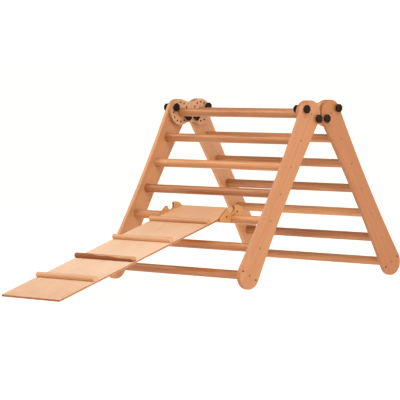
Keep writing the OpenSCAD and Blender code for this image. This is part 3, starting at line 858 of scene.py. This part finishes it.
recess = screws.add("GeometryNodeMeshBoolean", {"operation": "UNION", "solver": "EXACT"}, {
    1: [wedge, crossed]})
screw = screws.add("GeometryNodeMeshBoolean", {"operation": "DIFFERENCE", "solver": "EXACT"}, {
    0: body, 1: recess})
screw_recipe = serve(screws, screw)

# %% The recipe that sets pieces on points
def new_scatter(seed):
    m = new_recipe("set_on_points")
    piece = m.tree.interface.new_socket("Piece", in_out="INPUT", socket_type="NodeSocketObject")
    source = next(n for n in m.tree.nodes if n.bl_idname == "NodeGroupInput")
    shape = m.add("GeometryNodeObjectInfo", {}, {
        "Object": Wire(m, source.outputs[piece.name])}, out="Geometry")
    facing = m.add("FunctionNodeAlignRotationToVector", {"axis": "Z"}, {
        "Vector": named(m, "aim", "FLOAT_VECTOR")})
    spin = m.add("FunctionNodeRandomValue", {"data_type": "FLOAT"}, {
        "Min": 0.0, "Max": math.pi, "Seed": seed}, out="Value")
    spun = m.add("FunctionNodeRotateRotation", {"rotation_space": "LOCAL"}, {
        "Rotation": facing, "Rotate By": m.vector(z=spin)})
    made = m.add("GeometryNodeInstanceOnPoints", {}, {
        "Points": m.given["Start"], "Instance": shape, "Rotation": spun})
    return serve(m, made)

scatter = new_scatter(7)

def screw_section(head_d, shank_d, length):
    head, shank = head_d / 2, shank_d / 2
    neck = 0.06 * head_d + head - shank
    thread = []
    for k in range(6):
        at = neck + 3 + k * (length - neck - 7) / 6
        thread += [(shank * 0.72, -at), (shank * 0.98, -at - 0.7), (shank * 0.72, -at - 1.4)]
    return turned((0, -length), (shank * 0.5, 2 - length), *reversed(thread),
                  (shank * 0.98, -neck - 1), (shank * 0.98, -neck), (head, -0.06 * head_d),
                  (head, -0.02 * head_d), (head * 0.97, 0), (0, 0))

def screw_set(name, body, node, screw, material, places):
    """Sets screws of one (head, shank, length), in millimetres, at (place, aim) pairs."""
    head_d, shank_d, length = screw
    recess = head_d * MM
    single = bpy.data.objects.new("single", grow(
        screw_recipe, screw_section(head_d, shank_d, length), Recess_length=recess * 0.55,
        Recess_width=recess * 0.13, Recess_depth=recess * 0.22, Finish=material))
    bpy.context.scene.collection.objects.link(single)
    points = bpy.data.meshes.new("points")
    points.from_pydata([p for p, aim in places], [], [])
    points.attributes.new("aim", "FLOAT_VECTOR", "POINT").data.foreach_set(
        "vector", [c for p, aim in places for c in aim])
    mesh = grow(scatter, points, Piece=single, Finish=material)
    bpy.data.objects.remove(single)
    return set_down(name, mesh, body, "yellow_zinc", node)

# %% [markdown]
# The rungs are held by one screw at each end, the brackets by two each, and every
# cleat by three from below. The screws of the rear ladder came from a duller batch,
# and those of the brackets from a brown one.

# %% Forty-four screws
RUNG_SCREW, HOOK_SCREW, CLEAT_SCREW = (9.5, 5, 50), (8, 4, 40), (8, 4, 22)
for end in LADDERS:
    places = [(pivot[end] + down[end] * rung_pitch * k + X * rail_out * s, X * s)
              for k in range(7) for s in SIDES.values()]
    screw_set(f"{end}_rung_screw_set", f"{end}_ladder", f"{end}_rung_screws", RUNG_SCREW,
              olive_zinc if end == "front" else dull_zinc, places)
places = []
for side, s in SIDES.items():
    for u in hook_screws:
        spot = carrier + uphill * u + square_up * floor_y
        spot.x = hook_edge[side] + s * hook_t
        places.append((spot, X * s))
screw_set("hook_screw_set", "ramp", "hook_screws", HOOK_SCREW, bronze_zinc, places)
places = []
for k in range(4):
    for x in cleat_screws:
        spot = carrier + uphill * (first + cleat_pitch * k) + square_up * panel_under
        spot.x = ramp_x + x
        places.append((spot, -square_up))
screw_set("cleat_screw_set", "ramp", "cleat_screws", CLEAT_SCREW, dull_zinc, places)

# %% [markdown]
# ## Bolts
# The locking bolts are right as the CAD has them, plain rods between rail, plate and
# knob. They only need their metal, so their material slots get it.

# %% The bolts' finish
for node in ("front_bolts", "rear_bolts", "plate_bolts"):
    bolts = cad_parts[node]
    bolts.data.materials.clear()
    bolts.data.materials.append(bright_zinc)

# %% [markdown]
# ## Studio
# The object was photographed on white, in soft light from all round. A white floor
# throws light back up, so this one glows a little, and warmly, and the undersides of
# the rungs stay warm too. The sky is dim overhead and bright at the horizon, which
# keeps the background white behind a low camera. A large lamp high on the right, in
# front, is the main light. A warm one on the left draws the pale line along the top
# of each rung, and a weak one far right opens the shadows between the rails. The
# Standard view keeps white paper white.

# %% Floor and lights
def floor_paint(m):
    place = m.add("ShaderNodeTexCoord", out="Object")
    cloud = noise(m, place, (0.4, 0.4, 0.4))
    return {"Base Color": blend(m, cloud, (0.12, 0.12, 0.12, 1), (0.14, 0.14, 0.14, 1)),
            "Roughness": 0.9, "Specular IOR Level": 0.0,
            "Emission Color": (1, 0.9, 0.8, 1), "Emission Strength": 1.16}

floor_mesh = bpy.data.meshes.new("floor")
floor_mesh.from_pydata([(-90, -90, 0), (90, -90, 0), (90, 90, 0), (-90, 90, 0)], [], [(0, 1, 2, 3)])
floor_mesh.materials.append(finish("floor", floor_paint))
floor = bpy.data.objects.new("floor", floor_mesh)
bpy.context.scene.collection.objects.link(floor)

world = bpy.data.worlds.new("studio")
world.use_nodes = True
world.node_tree.nodes["Background"].inputs["Color"].default_value = (1, 0.92, 0.85, 1)
m = Maker(world.node_tree)
above_horizon = m.parts(m.add("ShaderNodeTexCoord", out="Generated"))[2].size()
sky, glow = 0.5, 0.69
m.plug(world.node_tree.nodes["Background"].inputs["Strength"],
       sky + (1 - above_horizon.ease(0.06, 0.2)) * glow)
bpy.context.scene.world = world
bpy.context.scene.view_settings.view_transform = "Standard"

def soft_light(name, place, target, width, power, tint=(1, 1, 1)):
    lamp = bpy.data.lights.new(name, "AREA")
    lamp.shape, lamp.size, lamp.energy, lamp.color = "DISK", width, power, tint
    holder = bpy.data.objects.new(name, lamp)
    holder.location = place
    holder.rotation_euler = (Vector(target) - Vector(place)).to_track_quat("-Z", "Y").to_euler()
    bpy.context.scene.collection.objects.link(holder)

soft_light("key", (2.7, -1.9, 4.4), (0, 0, 0.3), 4.0, 200)
soft_light("left", (-3.2, -1.5, 2.9), (0, 0, 0.4), 2.6, 65, (1, 0.84, 0.66))
soft_light("right", (4.8, 0.9, 1.1), (0, 0, 0.4), 2.2, 50)

# %% [markdown]
# ## Camera
# The photograph was taken from far away with a long lens, a little above the floor:
# near and far rungs look almost parallel. The place, turn and lens here were
# fitted to the picture with the rungs as a ruler.

# %% The photograph's view
AZIMUTH, ELEVATION, ROLL = 45.6529, 3.4022, -0.6125
LENS, DISTANCE = 232.909, 7.889
TARGET = pivot["front"] + Vector((1.84675, -2.04765, -0.19237))
a, e, r = (math.radians(v) for v in (AZIMUTH, ELEVATION, ROLL))
back = Vector((math.sin(a) * math.cos(e), -math.cos(a) * math.cos(e), math.sin(e)))
side = (-back).cross(Vector((0, 0, 1))).normalized()
up = side.cross(-back)
right = side * math.cos(r) + up * math.sin(r)
lens = bpy.data.cameras.new("camera")
lens.sensor_width, lens.lens = 36.0, LENS
lens.clip_start, lens.clip_end = 0.1, 500.0
camera = bpy.data.objects.new("camera", lens)
camera.matrix_world = Matrix.Translation(TARGET + back * DISTANCE) @ Matrix(
    (right, back.cross(right), back)).transposed().to_4x4()
bpy.context.scene.collection.objects.link(camera)
bpy.context.scene.camera = camera
